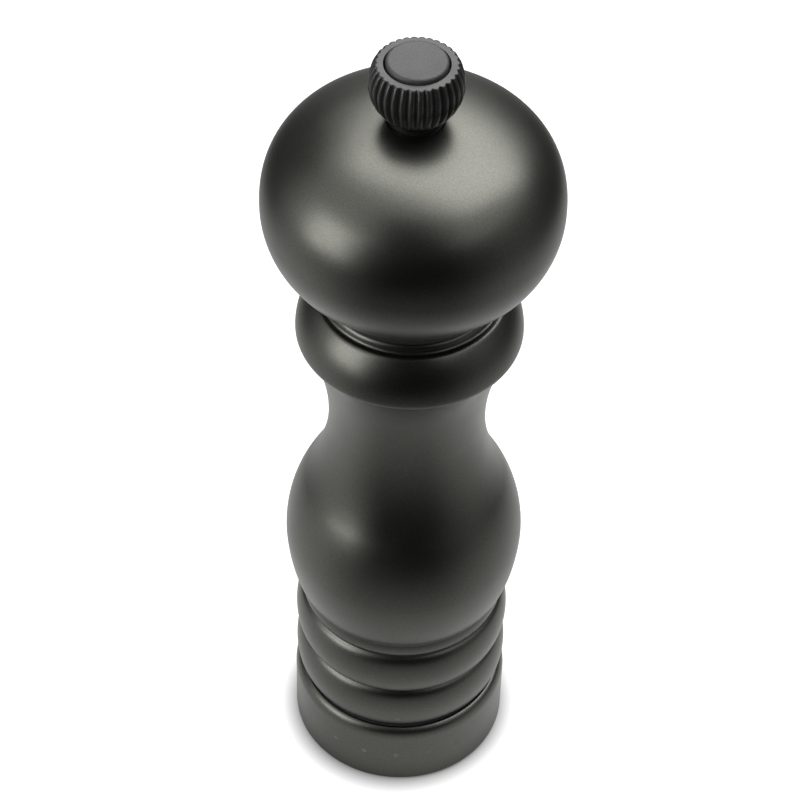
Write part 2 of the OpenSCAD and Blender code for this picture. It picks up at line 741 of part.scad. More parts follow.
// The spring is a round wire swept along a helix whose ends are closed by flat rings of points
spring_sides = 8;
spring_turn_rings = 16;
spring_rings = spring_turns * spring_turn_rings;
spring_rise = bush_flange_z - spring_foot_z - spring_wire - 2 * fit_gap / 2;
function spring_point(i, k) =
    let (
        turn = 360 * i / spring_turn_rings,
        around = 360 * k / spring_sides,
        r = spring_r + spring_wire / 2 * cos(around),
        z = spring_foot_z + fit_gap / 2 + spring_wire / 2 + spring_rise * i / spring_rings
            + spring_wire / 2 * sin(around)
    )
    [r * cos(turn), r * sin(turn), z];

module burr_spring() {
    color("#c9c9c4") polyhedron(
        points = [for (i = [0:spring_rings]) for (k = [0:spring_sides - 1]) spring_point(i, k)],
        faces = concat(
            [[for (k = [0:spring_sides - 1]) k]],
            [for (i = [0:spring_rings - 1]) for (k = [0:spring_sides - 1]) let (
                a = i * spring_sides + k,
                b = i * spring_sides + (k + 1) % spring_sides)
                [a, a + spring_sides, b + spring_sides, b]],
            [[for (k = [spring_sides - 1:-1:0]) spring_rings * spring_sides + k]]
        )
    );
}

// ---- Shaft and what is fixed to it

shaft_foot_z = rotor_z + 1.5;
seat_z = crown_z;
washer_z = seat_z + seat_t;
knob_z = washer_z + washer_t + running_gap;
shaft_top_z = washer_z + washer_t + thread_l;
clip_groove = 0.9;
clip_t = 0.8;
lower_clip_z = bush_flange_z - fit_gap / 2 - clip_t;
upper_clip_z = bridge_hub_top + free_gap + clip_t / 2;

module shaft() {
    color("#c8c8c4") difference() {
        union() {
            bar(shaft_w, shaft_foot_z, seat_z);
            difference() {
                pin(thread_d / 2, seat_z - past, shaft_top_z);
                ring(thread_d / 2 - thin, thread_d, shaft_top_z - thin, shaft_top_z + past);
            }
        }
        for (z = [lower_clip_z, upper_clip_z])
            ring(shaft_w / 2 + fit_gap, shaft_w, z - fit_gap / 4, z + clip_t + fit_gap / 4);
    }
}

module drive_bush() {
    color("#b08d4c") difference() {
        union() {
            pin(bush_flange_r, bush_flange_z, bush_flange_z + bush_flange_t);
            pin(bush_r, bush_flange_z, bridge_hub_top + free_gap);
        }
        bar(square_hole, bush_flange_z - past, bridge_hub_top + past);
    }
}

module shaft_clips() {
    color("#b5b5b0") for (z = [lower_clip_z, upper_clip_z]) difference() {
        ring(shaft_w / 2 + fit_gap * 1.5, bush_r - fit_gap, z, z + clip_t);
        rotate([0, 0, 45]) radial_block(0, bush_r, clip_groove * 2, z - past, z + clip_t + past);
    }
}

// ---- Head

module head_shell() {
    color("#3c3c39") sheet_shell(head_outline);
}

core_z = lip_z + slide_ring_t + fit_gap;
foot_edge_r = foot_round_x;
core_floor_z = core_z + 2.4;
core_floor_top = core_floor_z + core_floor_t;
spigot_r = sleeve_bore - running_gap;
core_bore = shaft_w / sqrt(2) + 0.7;
column_r = core_column_d / 2;
crown_plate_r = 12;
crown_plate_t = 2;
crown_plate_z = dome_z(crown_plate_r) - sheet - free_gap - crown_plate_t;
core_rib_t = 2;
core_rib_h = 14;

module head_core() {
    color("#1b1b1b") difference() {
        union() {
            rotate_extrude() polygon([
                [0, core_floor_z], [spigot_r - spigot_wall, core_floor_z], [spigot_r - spigot_wall, spigot_z],
                [spigot_r, spigot_z], [spigot_r, core_z], [foot_edge_r - thin, core_z],
                [foot_edge_r - thin, core_floor_z], [foot_edge_r + thin, core_floor_z],
                [foot_edge_r + thin, head_foot_z - fit_gap / 2],
                [foot_edge_r - fit_gap, head_foot_z - fit_gap / 2],
                [foot_edge_r - fit_gap, core_floor_top], [column_r, core_floor_top],
                [column_r, crown_plate_z], [crown_plate_r, crown_plate_z],
                [crown_plate_r, crown_plate_z + crown_plate_t],
                [crown_r - fit_gap, crown_plate_z + crown_plate_t],
                [crown_r - fit_gap, seat_z - fit_gap], [0, seat_z - fit_gap]
            ]);
            for (k = [0:5]) rotate([0, 0, 60 * k])
                radial_block(core_bore + thin, foot_edge_r - 3, core_rib_t,
                    core_floor_z + thin, core_floor_top + core_rib_h);
        }
        pin(core_bore, core_floor_z - past, seat_z + past);
        at_three(arm_angle, drive_screw_r)
            pin(screw_d / 2 + fit_gap / 4, core_floor_z - past, core_floor_z + core_floor_t - thin + fit_gap);
    }
}

module drive_plate() {
    color("#b9b9b5") difference() {
        pin(drive_plate_d / 2, core_floor_z - drive_plate_t, core_floor_z);
        bar(square_hole, core_floor_z - drive_plate_t - past, core_floor_z + past);
        at_three(arm_angle, drive_screw_r)
            pin(screw_d / 2 + fit_gap / 2, core_floor_z - drive_plate_t - past, core_floor_z + past);
    }
}

module drive_plate_screws() {
    color("#b5b5b0") at_three(arm_angle, drive_screw_r)
        translate([0, 0, core_floor_z - drive_plate_t]) mirror([0, 0, 1])
            screw(screw_d, drive_plate_t + core_floor_t - thin, screw_head_d, screw_head_h);
}

module crown_seat() {
    color("#8f8f8c") ring(core_bore, washer_d / 2, seat_z - fit_gap, washer_z - running_gap);
}

module knob_washer() {
    color("#dcd8c8") ring(thread_d / 2 + fit_gap, washer_d / 2, washer_z, washer_z + washer_t);
}

// ---- Knob

knob_mid_z = knob_z + knob_low_h;
knob_rim_z = knob_mid_z + knob_rim_h;
knob_x = knob_d / 2 - knob_flank_r;
flute_angle = 360 * flute_w / (PI * knob_d);
insert_z = knob_z + 0.2;
insert_top_z = insert_z + insert_l;
cap_z = knob_rim_z + cap_proud - cap_t;
cap_plug_r = insert_d / 2;
cap_plug_l = 1.4;

// Half of the knob's section: a circle of the flank's radius between two flat faces
module knob_section() {
    intersection() {
        translate([knob_x, knob_mid_z]) circle(r = knob_flank_r);
        translate([0, knob_z]) square([knob_d, knob_rim_z - knob_z]);
    }
}

// Section of one groove: what lies outside the flank's circle when it is drawn in by the depth
module flute_section() {
    difference() {
        translate([0, knob_z - past]) square([knob_d, knob_rim_z - knob_z + 2 * past]);
        translate([knob_x, knob_mid_z]) circle(r = knob_flank_r - flute_depth);
        translate([-past, knob_z - 2 * past])
            square([cap_d / 2 + cap_groove + past, knob_rim_z - knob_z + 4 * past]);
    }
}

module knob() {
    color("#161616") difference() {
        rotate_extrude() knob_section();
        for (k = [0:knob_ribs - 1]) rotate([0, 0, 360 * (k + 0.5) / knob_ribs - flute_angle / 2])
            rotate_extrude(angle = flute_angle) flute_section();
        pin(insert_d / 2 + fit_gap / 4, knob_z - past, insert_top_z + fit_gap);
        pin(cap_plug_r + fit_gap / 2, cap_z - cap_plug_l - fit_gap, cap_z + past);
        pin(cap_d / 2 + cap_groove, cap_z - fit_gap / 4, knob_rim_z + past);
    }
}

module knob_insert() {
    color("#b08d4c") ring(thread_d / 2 + running_gap, insert_d / 2, insert_z, insert_top_z);
}

module knob_cap() {
    color("#55565a") rotate_extrude() union() {
        translate([0, cap_z - cap_plug_l]) square([cap_plug_r, cap_plug_l + thin]);
        translate([0, cap_z]) square([cap_d / 2, cap_t - cap_round]);
        translate([0, cap_z]) square([cap_d / 2 - cap_round, cap_t]);
        translate([cap_d / 2 - cap_round, cap_z + cap_t - cap_round]) circle(r = cap_round);
    }
}

body_shell();
hopper_liner();
mouth_sleeve();
slide_ring();
mechanism_housing();
bridge();
housing_screws();
outer_burr();
burr_retainer();
retainer_screws();
snap_ring();
click_spring();
index_pip();
adjust_ring();
cam_ring();
grind_marks();
carriage();
thrust_pad();
inner_burr();
spring_washer();
burr_spring();
shaft();
drive_bush();
shaft_clips();
head_shell();
head_core();
drive_plate();
drive_plate_screws();
crown_seat();
knob_washer();
knob();
knob_insert();
knob_cap();
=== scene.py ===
# %% [markdown]
# # A pepper mill
#
# A pepper mill is a stack of turned shapes: a base ring that sets the grind, two rings and a belly, a
# waist, a collar, a ball head and a small ribbed knob that holds the head down. The CAD model has every
# piece inside and out. Here the pieces that show are made again as smooth surfaces, and every piece gets
# its finish.

import bpy
import numpy as np
from mathutils import Matrix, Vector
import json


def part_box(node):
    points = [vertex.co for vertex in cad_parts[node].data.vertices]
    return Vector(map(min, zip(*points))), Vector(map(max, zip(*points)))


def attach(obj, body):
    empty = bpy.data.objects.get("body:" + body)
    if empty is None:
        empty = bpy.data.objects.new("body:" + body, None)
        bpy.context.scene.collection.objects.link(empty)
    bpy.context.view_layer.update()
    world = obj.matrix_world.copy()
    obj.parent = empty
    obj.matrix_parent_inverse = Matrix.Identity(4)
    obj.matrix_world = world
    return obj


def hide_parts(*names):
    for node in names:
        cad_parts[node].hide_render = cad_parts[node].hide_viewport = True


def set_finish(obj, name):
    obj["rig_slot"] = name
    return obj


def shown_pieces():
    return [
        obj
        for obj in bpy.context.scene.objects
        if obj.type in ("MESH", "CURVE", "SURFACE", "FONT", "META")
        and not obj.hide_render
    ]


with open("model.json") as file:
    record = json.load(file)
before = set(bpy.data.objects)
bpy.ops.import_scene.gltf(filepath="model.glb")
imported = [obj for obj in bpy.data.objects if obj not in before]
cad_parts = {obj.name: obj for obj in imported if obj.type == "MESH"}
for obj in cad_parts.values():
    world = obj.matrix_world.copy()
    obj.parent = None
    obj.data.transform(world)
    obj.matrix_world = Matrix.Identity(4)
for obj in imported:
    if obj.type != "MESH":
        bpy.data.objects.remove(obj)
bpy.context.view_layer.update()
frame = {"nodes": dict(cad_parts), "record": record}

# %% [markdown]
# ## The camera
#
# The mill is seen from above its head, with a long lens a little over 70 cm from the mill's foot. A camera
# could be aimed with a Track To constraint, but this one leans slightly to one side, so its three axes are
# worked out from its pitch, yaw and roll and put straight into its matrix.

# %% Place the camera
CAMERA_BACK = 0.4412
CAMERA_UP = 0.5873
PITCH = np.radians(46.92)
YAW = np.radians(-0.223)
ROLL = np.radians(-1.55)
FRAME_PIXELS = 800
FOCAL_PIXELS = 2738

ahead = np.array([np.sin(YAW) * np.cos(PITCH), np.cos(YAW) * np.cos(PITCH), -np.sin(PITCH)])
level = np.array([np.cos(YAW), -np.sin(YAW), 0.0])
below = np.cross(ahead, level)
right = np.cos(ROLL) * level + np.sin(ROLL) * below
down = np.cos(ROLL) * below - np.sin(ROLL) * level

lens = bpy.data.cameras.new("camera")
lens.sensor_width = 36
lens.lens = FOCAL_PIXELS / FRAME_PIXELS * lens.sensor_width
camera = bpy.data.objects.new("camera", lens)
bpy.context.scene.collection.objects.link(camera)
turn = Matrix(np.column_stack([right, -down, -ahead]).tolist()).to_4x4()
camera.matrix_world = Matrix.Translation((0, -CAMERA_BACK, CAMERA_UP)) @ turn
bpy.context.scene.camera = camera
print("lens", round(lens.lens, 1), "mm")

# %% [markdown]
# ## Turned surfaces
#
# A turned piece is its section carried round the axis. A Screw modifier on a drawn line would do it too,
# but the section here is worked out in numbers, so the surface can be written down as one grid: the point
# of row i and column j is the section's point i, turned by the angle of column j. Rows and columns are
# whole numpy arrays.

# %% Helpers for sections and grids
MM = 0.001
BELL_REACH = 2.5


def arc(r, z, half_r, half_z, start, stop, count=25):
    """Points (r + half_r cos t, z + half_z sin t), with t in even steps from start to stop degrees."""
    t = np.radians(np.linspace(start, stop, count))
    return np.column_stack([r + half_r * np.cos(t), z + half_z * np.sin(t)])


def evenly(line, spacing):
    """The same line with points every `spacing`: each coordinate is interpolated over the run so far."""
    run = np.concatenate([[0], np.cumsum(np.linalg.norm(np.diff(line, axis=0), axis=1))])
    at = np.linspace(0, run[-1], max(int(round(run[-1] / spacing)), 2) + 1)
    return np.column_stack([np.interp(at, run, line[:, k]) for k in (0, 1)])


def soften(line, radius, spacing):
    """Rounds the corners of an even line: each point becomes the average of its neighbours, weighted by a
    bell curve exp(-(d / radius)^2) out to BELL_REACH radii. Past each end the line goes on as its own point
    reflection, so the ends stay."""
    reach = int(np.ceil(BELL_REACH * radius / spacing))
    weight = np.exp(-((np.arange(-reach, reach + 1) * spacing / radius) ** 2))
    before = 2 * line[0] - line[reach:0:-1]
    after = 2 * line[-1] - line[-2 : -reach - 2 : -1]
    long = np.vstack([before, line, after])
    return np.column_stack([np.convolve(long[:, k], weight / weight.sum(), "valid") for k in (0, 1)])


def inset(line, wall):
    """The line moved inwards by `wall` along its normal: its direction turned a quarter to the left."""
    along = np.gradient(line, axis=0)
    along /= np.linalg.norm(along, axis=1)[:, None]
    return line + wall * np.column_stack([-along[:, 1], along[:, 0]])


def grid_mesh(name, points, round_rows):
    """Puts a grid of points (rows, columns, 3) into a mesh. Columns always close on themselves. Rows close
    too when round_rows is set. Otherwise the first and the last row each end in one point on the axis."""
    rows, columns, _ = points.shape
    i, j = np.meshgrid(np.arange(rows if round_rows else rows - 1), np.arange(columns), indexing="ij")
    below, above = i * columns, (i + 1) % rows * columns
    beside = (j + 1) % columns
    faces = np.stack([below + j, below + beside, above + beside, above + j], axis=-1).reshape(-1, 4).tolist()
    points = points.reshape(-1, 3)
    if not round_rows:
        ends = np.array([points[:columns].mean(axis=0), points[-columns:].mean(axis=0)])
        first, last = len(points), len(points) + 1
        points = np.vstack([points, ends])
        top = (rows - 1) * columns
        ring = np.arange(columns)
        step = (ring + 1) % columns
        faces += np.column_stack([np.full(columns, first), step, ring]).tolist()
        faces += np.column_stack([np.full(columns, last), top + ring, top + step]).tolist()
    mesh = bpy.data.meshes.new(name)
    mesh.from_pydata(points * MM, [], faces)
    mesh.shade_smooth()
    piece = bpy.data.objects.new(name, mesh)
    bpy.context.scene.collection.objects.link(piece)
    print(name, len(mesh.polygons), "faces")
    return piece


def turned(name, section, around, closed=True):
    """Surface of revolution: (r cos a, r sin a, z) for each point (r, z) of the section and `around` even
    angles a. The section runs upwards on its outer side, so that the faces point outwards."""
    angle = 2 * np.pi * np.arange(around) / around
    r, z = section[:, 0][:, None], section[:, 1][:, None]
    points = np.stack([r * np.cos(angle), r * np.sin(angle), z + 0 * angle], axis=-1)
    return grid_mesh(name, points, closed)


# %% [markdown]
# ## The outline
#
# The body is one tube of steel sheet, pressed to the outline of a turned baluster. Its stretches are arcs:
# two rings, a bead, the belly, the sweep to the waist, the flared neck, the collar with its bowed face, and
# the lip. Only the foot of the belly is a superellipse. Paint rounds the inner corners between them, so the
# joined line is averaged over a short length before it is used.

# %% Section of the body
SHEET = 1.0
PAINT_FILLET = 0.45
LINE_SPACING = 0.42
INNER_SPACING = 4 * LINE_SPACING
AROUND = 168

groove_r = 48.6 / 2
ring_r = 53.4 / 2
ring_h = 13.8
bead_r = 50.4 / 2
bead_h = 5.2
bead_arc = 60
belly_foot_r = 50.2 / 2
belly_r = 58.0 / 2
belly_low_h = 17.4
belly_low_power = 1.6
belly_low_stop = 4
belly_low_points = 40
belly_bulge_r = 39.5
waist_r = 37.1 / 2
waist_rise = 41.3
neck_h = 26.0
neck_top_r = 48.6 / 2
neck_start = 2
collar_r = 52.5 / 2
collar_low_h = 2.4
collar_tuck = 60.0
collar_tuck_trim = 5
collar_top_h = 11.1
collar_face_r = 16.5
lip_r = 40.8 / 2
lip_round = 1.2
lip_cove = 0.5
lip_cove_arc = 60

body_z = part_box("body_shell")[0][2] / MM
lip_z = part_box("body_shell")[1][2] / MM
bead_z = body_z + 2 * ring_h
belly_z = bead_z + bead_h + belly_low_h
waist_z = belly_z + waist_rise
collar_z = waist_z + neck_h + collar_low_h
collar_top_z = collar_z + collar_top_h

bulge_x = belly_r - belly_bulge_r
sweep_x = waist_r - bulge_x
sweep_r = (sweep_x**2 + waist_rise**2 - belly_bulge_r**2) / 2 / (belly_bulge_r - sweep_x)
sweep_angle = np.degrees(np.arctan2(waist_rise, sweep_x + sweep_r))
neck_flare = neck_top_r - waist_r
neck_r = (neck_h**2 + neck_flare**2) / 2 / neck_flare
neck_angle = np.degrees(np.arcsin(neck_h / neck_r))
tuck_r = (collar_r - neck_top_r) / (1 - np.cos(np.radians(collar_tuck)))
tuck_h = collar_low_h / np.sin(np.radians(collar_tuck))
collar_face_angle = np.degrees(np.arcsin(collar_top_h / collar_face_r))
belly_turn = np.radians(np.linspace(90, belly_low_stop, belly_low_points))[:, None]
belly_low = np.hstack([
    belly_foot_r + (belly_r - belly_foot_r) * np.cos(belly_turn) ** (2 / belly_low_power),
    belly_z - belly_low_h * np.sin(belly_turn) ** (2 / belly_low_power),
])

body_line = np.vstack([
    arc(groove_r, body_z + ring_h / 2, ring_r - groove_r, ring_h / 2, -90, 90),
    arc(groove_r, body_z + 1.5 * ring_h, ring_r - groove_r, ring_h / 2, -90, 90),
    arc(groove_r, bead_z + bead_h / 2, bead_r - groove_r, bead_h / 2, -bead_arc, bead_arc),
    belly_low,
    arc(bulge_x, belly_z, belly_bulge_r, belly_bulge_r, 0, sweep_angle),
    arc(waist_r + sweep_r, waist_z, -sweep_r, -sweep_r, sweep_angle, 0)[1:],
    arc(waist_r + neck_r, waist_z, -neck_r, neck_r, neck_start, neck_angle),
    arc(collar_r - tuck_r, collar_z, tuck_r, tuck_h, collar_tuck_trim - collar_tuck, -collar_tuck_trim),
    arc(collar_r - collar_face_r, collar_z, collar_face_r, collar_face_r, 0, collar_face_angle),
    arc(lip_r + lip_cove, collar_top_z + lip_cove, -lip_cove, -lip_cove, lip_cove_arc, 0),
    arc(lip_r - lip_round, lip_z - lip_round, lip_round, lip_round, 0, 90),
])


def sheet_section(line):
    """A closed section of sheet: the softened outline upwards, and back down along its inset."""
    line = evenly(line, LINE_SPACING)
    outer = soften(line, PAINT_FILLET, LINE_SPACING)
    inner = evenly(inset(outer, SHEET)[::-1], INNER_SPACING)
    return np.vstack([outer, inner])


body = turned("body_tube", sheet_section(body_line), AROUND)
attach(body, "casing")
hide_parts("body_shell")
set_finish(body, "coated_steel")

# %% [markdown]
# ## The base ring
#
# The ring at the bottom is a rolled cover over a moulded ring. It is turned to set the grind, and it stands
# on a small rolled foot. Its section is the same kind of line: foot, straight wall and a shoulder that is
# taller than it is wide.

# %% Base ring
base_r = 54.0 / 2
base_foot = 1.3
base_flat = 0.9
base_shoulder = 2.0
base_shoulder_h = 3.4

base_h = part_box("adjust_ring")[1][2] / MM
flat_r = base_r - base_foot - base_flat
shoulder_r = base_r - base_shoulder
shoulder_z = base_h - base_shoulder_h
base_line = np.vstack([
    [[flat_r, 0.0]],
    arc(base_r - base_foot, base_foot, base_foot, base_foot, -90, 0, count=9),
    arc(shoulder_r, shoulder_z, base_shoulder, base_shoulder_h, 0, 90, count=17),
])
base_outer = evenly(base_line, LINE_SPACING)
base_inner = np.vstack([
    arc(shoulder_r, shoulder_z, base_shoulder - SHEET, base_shoulder_h - SHEET, 90, 0, count=7),
    [[base_r - SHEET, SHEET], [flat_r, SHEET]],
])
base_ring = turned("base_ring", np.vstack([base_outer, base_inner]), AROUND)
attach(base_ring, "grind_ring")
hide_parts("adjust_ring")
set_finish(base_ring, "coated_steel")

# %% [markdown]
# ## The ball head
#
# The head is a ball that is wider than it is high. Below its widest place it runs in along a straight slope
# to a rounded foot, and above it the dome is a superellipse, a little fuller than an ellipse.

# %% Head
head_r = 67.5 / 2
head_low_h = 21.0
head_flank_r = 22.0
head_flank_angle = 42.0
head_flank_stop = 3
head_foot_round = 3.0
dome_h = 24.2
dome_power = 2.4
dome_side_turn = 70
dome_side_points = 60
dome_top_points = 20
crown_r = 12.6 / 2

head_foot_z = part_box("head_shell")[0][2] / MM
head_z = head_foot_z + head_low_h
flank_x = head_r - head_flank_r
slope = np.radians(head_flank_angle)
foot_z = head_foot_z + head_foot_round
flank_foot_z = foot_z - head_foot_round * np.sin(slope)
flank_run = head_z - head_flank_r * np.sin(slope) - flank_foot_z
foot_x = flank_x + head_flank_r * np.cos(slope) - flank_run * np.tan(slope) - head_foot_round * np.cos(slope)


def dome(r):
    """Height of the dome at radius r: (r / head_r)^p + (height / dome_h)^p = 1, where p is dome_power."""
    return head_z + dome_h * (1 - (r / head_r) ** dome_power) ** (1 / dome_power)


dome_turn = np.radians(np.linspace(0, dome_side_turn, dome_side_points))
dome_side = head_r * np.cos(dome_turn) ** (2 / dome_power)
dome_top = np.linspace(dome_side[-1], crown_r, dome_top_points)[1:]
dome_rs = np.concatenate([dome_side, dome_top])
head_line = np.vstack([
    arc(foot_x, foot_z, head_foot_round, head_foot_round, -90, -head_flank_angle),
    arc(flank_x, head_z, head_flank_r, head_flank_r, -head_flank_angle, -head_flank_stop),
    np.column_stack([dome_rs, dome(dome_rs)]),
])
head = turned("ball_head", sheet_section(head_line), AROUND)
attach(head, "head")
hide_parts("head_shell")
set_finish(head, "coated_steel")

# %% [markdown]
# ## The ribbed knob
#
# The knob is moulded in black plastic, with upright ribs for the fingers. An array of rib meshes would need
# a boolean to join them; here the ribs are in the surface itself: the radius of the turned flank is drawn
# in between two ribs by a power of the distance to the nearest rib, which leaves full ribs and narrow
# grooves.

# %% Knob
knob_r = 20.7 / 2
knob_flank_r = 10.0
knob_low_h = 8.7
rib_count = 32
rib_depth = 0.8
rib_power = 2.2
rib_steps = 14
rib_start = 0.2
rib_rise = 2.2
rib_rise_power = 0.7
rib_land = 2.2
rib_land_fade = 1.4
rim_round = 0.35
disc_r = 13.4 / 2
disc_groove = 0.5
disc_proud = 1.0
disc_t = 2.0
insert_r = 9.0 / 2
insert_gap = 0.1
disc_gap = 0.05
KNOB_SPACING = 0.22

knob_low_z, rim_z = (corner[2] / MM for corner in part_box("knob"))
knob_mid_z = knob_low_z + knob_low_h
disc_z = rim_z + disc_proud - disc_t
flank_centre = knob_r - knob_flank_r
low_turn = -np.degrees(np.arcsin(knob_low_h / knob_flank_r))
rim_turn = np.degrees(np.arcsin((rim_z - knob_mid_z) / knob_flank_r))
pit_r = disc_r + disc_groove
bore_r = insert_r + insert_gap
pit_z = disc_z - disc_gap

flank = evenly(np.vstack([
    [[bore_r, knob_low_z]],
    arc(flank_centre, knob_mid_z, knob_flank_r, knob_flank_r, low_turn, rim_turn, count=40),
    [[pit_r, rim_z]],
]), KNOB_SPACING)
pit = np.array([[pit_r, rim_z], [pit_r, pit_z], [bore_r, pit_z]])
knob_section = np.vstack([soften(flank, rim_round, KNOB_SPACING), pit])


def ribbed(name, section):
    """A turned surface whose radius is r - d f(z) g(r) |2u|^p: u runs from -1/2 to 1/2 across a rib, d is the
    depth and p the power, f fades the ribs out under the knob, and g keeps them off the top face."""
    columns = rib_count * rib_steps
    angle = 2 * np.pi * np.arange(columns) / columns
    u = angle * rib_count / (2 * np.pi) % 1 - 0.5
    r, z = section[:, 0][:, None], section[:, 1][:, None]
    fade = np.clip((z - knob_low_z - rib_start) / rib_rise, 0, 1) ** rib_rise_power
    edge_r = knob_section[:, 0].max() - rib_land
    grip = np.clip((r - edge_r) / rib_land_fade, 0, 1)
    radius = r - rib_depth * fade * grip * np.abs(2 * u) ** rib_power
    points = np.stack([radius * np.cos(angle), radius * np.sin(angle), z + 0 * angle], axis=-1)
    return grid_mesh(name, points, True)


knob = ribbed("ribbed_knob", knob_section)
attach(knob, "knob")
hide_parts("knob")
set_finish(knob, "knob_plastic")

# %% [markdown]
# ## The disc in the knob
#
# A grey disc is pressed into the top of the knob. It stands a little proud, with a rounded edge and a plain
# face.

# %% Disc
disc_round = 0.75
disc_middle_r = 0.2
peg_r = insert_r - disc_gap
peg_h = 1.4
DISC_SPACING = 0.12
DISC_AROUND = 128

disc_top_z = disc_z + disc_t
peg_z = disc_z - peg_h
disc_line = evenly(np.vstack([
    [[peg_r, disc_z], [disc_r, disc_z]],
    arc(disc_r - disc_round, disc_top_z - disc_round, disc_round, disc_round, 0, 90, count=13),
    [[disc_middle_r, disc_top_z]],
]), DISC_SPACING)
disc_section = np.vstack([[[disc_middle_r, peg_z], [peg_r, peg_z]], disc_line])
disc = turned("knob_disc", disc_section, DISC_AROUND, closed=False)
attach(disc, "knob")
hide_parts("knob_cap")
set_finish(disc, "cap_plastic")

# %% [markdown]
# ## Printed dots
#
# One dot on the lowest ring is the index, and the dots on the base ring grow from fine to coarse. They are
# thin pads of print. Each one is a small grid: a disc of points bent onto the turned surface, a hair above
# it.

# %% Dots
index_r = 1.5 / 2
index_rise = 4.1
PRINT_PROUD = 0.05
DOT_RINGS = 7
DOT_AROUND = 24
DOT_MIDDLE = 0.15
DOT_EDGE_POWER = 6
DOT_UNDER_R = 0.4
DOT_UNDER = 4 * PRINT_PROUD
DOT_SINK = PRINT_PROUD / 4


def surface_r(section, z):
    """Radius of a turned section's outer side at the heights z."""
    rising = section[np.concatenate([[True], np.diff(section[:, 1]) > 0])]
    return np.interp(z, rising[:, 1], rising[:, 0])


def printed_dot(name, section, turn, z, radius):
    """A round pad on a turned surface: points at polar steps (q cos t, q sin t) across it are laid sideways
    as an angle and upwards as a height. They stand proud as a flat cap that falls to a little below the
    surface at its edge, and a last ring closes the pad underneath."""
    t = 2 * np.pi * np.arange(DOT_AROUND) / DOT_AROUND
    across = np.linspace(DOT_MIDDLE, 1, DOT_RINGS)
    q = np.concatenate([across, [DOT_UNDER_R]])[:, None]
    proud = np.concatenate([PRINT_PROUD * (1 - across**DOT_EDGE_POWER), [-DOT_UNDER]])[:, None]
    height = z + radius * q * np.sin(t)
    r = surface_r(section, height) + proud - DOT_SINK
    angle = np.radians(turn) + radius * q * np.cos(t) / r
    points = np.stack([r * np.cos(angle), r * np.sin(angle), height], axis=-1)
    return grid_mesh(name, points[::-1], False)


front = -90
index = printed_dot("index_dot", evenly(body_line, LINE_SPACING), front, body_z + index_rise, index_r)
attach(index, "casing")
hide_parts("index_pip")
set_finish(index, "mark_paint")

mark_z = 10.5
finest_mark = 0.9 / 2
mark_growth = 0.28 / 2
settings = 6
setting_now = 3
click_angle = 18
for step in range(settings):
    mark_turn = front - click_angle * (step + 1 - setting_now)
    mark_r = finest_mark + mark_growth * (settings - 1 - step)
    mark = printed_dot(f"setting_dot_{step + 1}", base_line[1:], mark_turn, mark_z, mark_r)
    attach(mark, "grind_ring")
    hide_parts("grind_marks")
    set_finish(mark, "mark_paint")

# %% [markdown]
# ## Finishes
#
# Every finish is built from shader nodes. The colours are written as hex codes, as a paint chart gives
# them, and turned to the linear values that a shader adds up. Sizes inside patterns are real ones, in
# millimetres.

# %% Helpers for finishes
MIX_DARK_SOCKET = 6
MIX_LIGHT_SOCKET = 7
NOISE_LOW = 0.3
NOISE_HIGH = 0.7


def linear(code):
    """sRGB hex to linear red, green, blue: c / 12.92 up to 0.04045, and ((c + 0.055) / 1.055)^2.4 above."""
    c = np.array([int(code[k : k + 2], 16) / 255 for k in (0, 2, 4)])
    return (*np.where(c <= 0.04045, c / 12.92, ((c + 0.055) / 1.055) ** 2.4), 1.0)


def add(tree, kind, settings=None, **inputs):
    """Adds a node, gives it its settings, and sets each named input or links it to another node's output."""
    node = tree.nodes.new("ShaderNode" + kind)
    for key, value in (settings or {}).items():
        setattr(node, key, value)
    for key, value in inputs.items():
        socket = node.inputs[int(key[1:]) if key[1:].isdigit() else key.replace("_", " ")]
        if isinstance(value, bpy.types.NodeSocket):
            tree.links.new(value, socket)
        else:
            socket.default_value = value
    return node


def per_mm(size):
    """Scale of a noise on coordinates in metres whose grains are `size` millimetres wide."""
    return 1 / (size * MM)


def new_finish(name):
    """An empty material: returns it, its node tree, its Principled shader and its Object coordinates."""
    material = bpy.data.materials.new(name)
    material.use_nodes = True
    tree = material.node_tree
    place = add(tree, "TexCoord").outputs["Object"]
    return material, tree, tree.nodes["Principled BSDF"], place


def set_on(shader, **values):
    """Sets constants on a shader's own sockets."""
    for key, value in values.items():
        shader.inputs[key.replace("_", " ")].default_value = value


def blend_colours(tree, amount, dark, light):
    """A colour between two hex codes, by an amount from 0 to 1."""
    mix = add(tree, "Mix", {"data_type": "RGBA"})
    tree.links.new(amount, mix.inputs["Factor"])
    mix.inputs[MIX_DARK_SOCKET].default_value = linear(dark)
    mix.inputs[MIX_LIGHT_SOCKET].default_value = linear(light)
    return mix.outputs[2]


def spread(tree, value, low, high, to_low, to_high):
    """Maps a value from one range to another, held at its ends."""
    node = add(tree, "MapRange", Value=value, From_Min=low, From_Max=high, To_Min=to_low, To_Max=to_high)
    return node.outputs[0]


def spread_noise(tree, noise, to_low=0, to_high=1):
    """Maps a noise, which seldom leaves NOISE_LOW to NOISE_HIGH, to a whole range."""
    return spread(tree, noise, NOISE_LOW, NOISE_HIGH, to_low, to_high)


def raise_surface(tree, shader, height, depth, under=None):
    """Bumps a shader by a height from 0 to 1, `depth` millimetres deep, over another bump if one is given."""
    bump = add(tree, "Bump", Height=height, Distance=depth * MM, Strength=1.0)
    if under is not None:
        tree.links.new(under, bump.inputs["Normal"])
    tree.links.new(bump.outputs[0], shader.inputs["Normal"])
    return bump.outputs[0]


